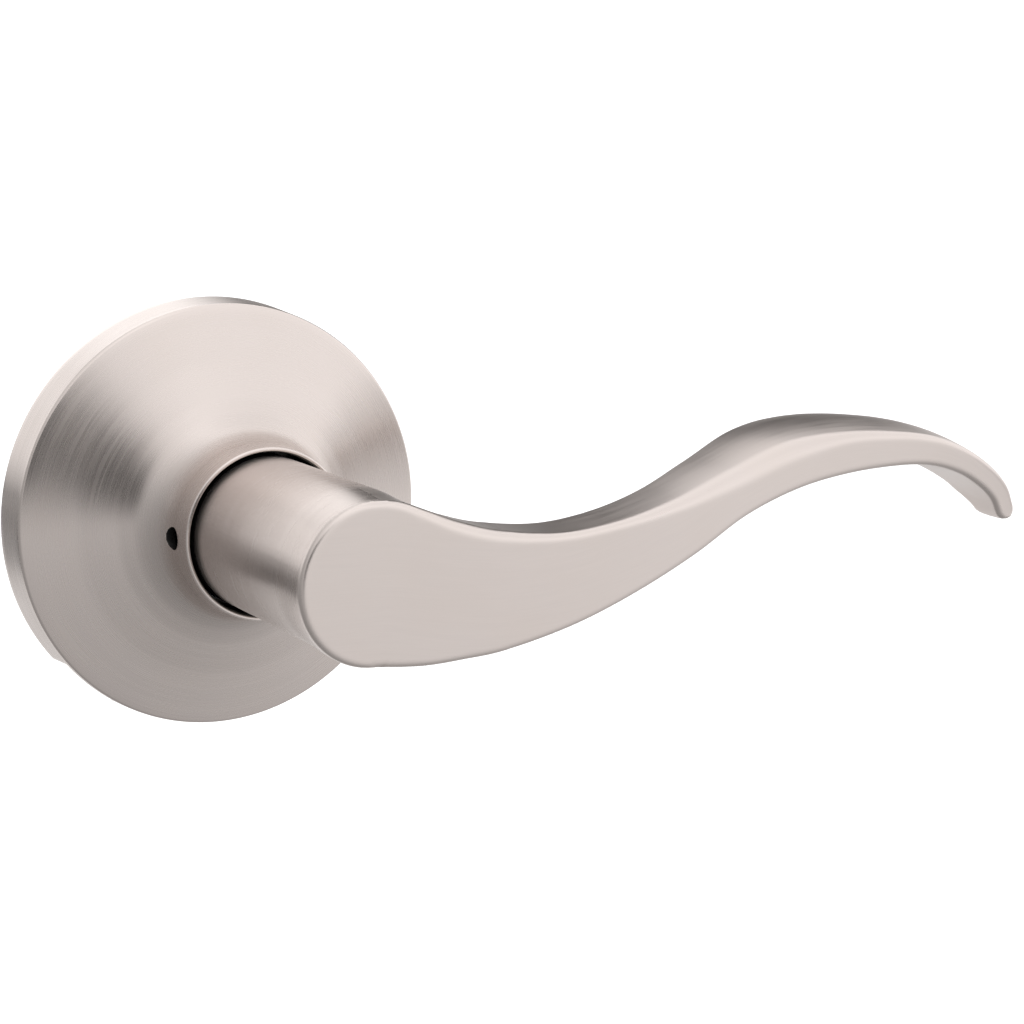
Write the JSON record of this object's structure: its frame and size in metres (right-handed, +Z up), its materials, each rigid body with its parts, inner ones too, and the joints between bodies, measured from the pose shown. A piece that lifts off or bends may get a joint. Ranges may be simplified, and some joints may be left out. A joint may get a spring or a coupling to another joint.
{
  "type": "door lever handle",
  "caption": "Wave-shaped door lever on a round push-fit rose, with its mounting plate, return spring and spindle, for one side of a bored door.",
  "frame": {"origin": "centre of the rose's back rim, on the face of the door, on the axis that the lever turns about", "axes": "+Y into the door along the lever's turning axis, +X towards the lever's tip at rest, +Z up; the lever stands out towards -Y"},
  "size_m": [0.1467, 0.1003, 0.066],
  "materials": {
    "satin_nickel": "satin nickel plate, finely brushed",
    "zinc_plated_steel": "zinc plated, slightly dull",
    "spring_steel": "oiled spring steel",
    "bright_steel": "drawn bright steel",
    "cast_zinc": "as cast",
    "nylon": "natural moulded nylon",
    "brass": "stamped brass"
  },
  "bodies": {
    "trim": {"rose_cover": "satin_nickel", "rose_clip_1": "spring_steel", "rose_clip_2": "spring_steel", "rose_clip_3": "spring_steel", "mounting_plate": "zinc_plated_steel", "mounting_post_left": "zinc_plated_steel", "mounting_post_right": "zinc_plated_steel", "spring_cage": "zinc_plated_steel", "cage_rivet_1": "zinc_plated_steel", "cage_rivet_2": "zinc_plated_steel", "cage_rivet_3": "zinc_plated_steel", "cage_rivet_4": "zinc_plated_steel", "rear_bushing": "nylon", "neck_bushing": "nylon", "lever_return_spring": "spring_steel"},
    "lever": {"lever_handle": "satin_nickel", "spindle_tube": "zinc_plated_steel", "spindle": "bright_steel", "cross_pin": "bright_steel", "return_cam": "cast_zinc", "thrust_washer": "brass", "wave_washer": "spring_steel", "retaining_ring": "spring_steel", "catch_spring": "spring_steel"},
    "catch": {"lever_catch": "spring_steel"}
  },
  "joints": [
    {"name": "lever_turn", "type": "hinge", "parent": "trim", "child": "lever", "pos_m": [0, 0, 0], "axis": [0, 1, 0], "range_deg": [-50, 50], "stiffness_Nm_per_rad": 1.4, "springref_deg": -2.86, "deforming": ["lever_return_spring"]},
    {"name": "catch_press", "type": "slide", "parent": "lever", "child": "catch", "axis": [1, 0, 0], "range_m": [0, 0.0024], "stiffness_N_per_m": 400, "springref_m": -0.002, "deforming": ["catch_spring"]}
  ]
}
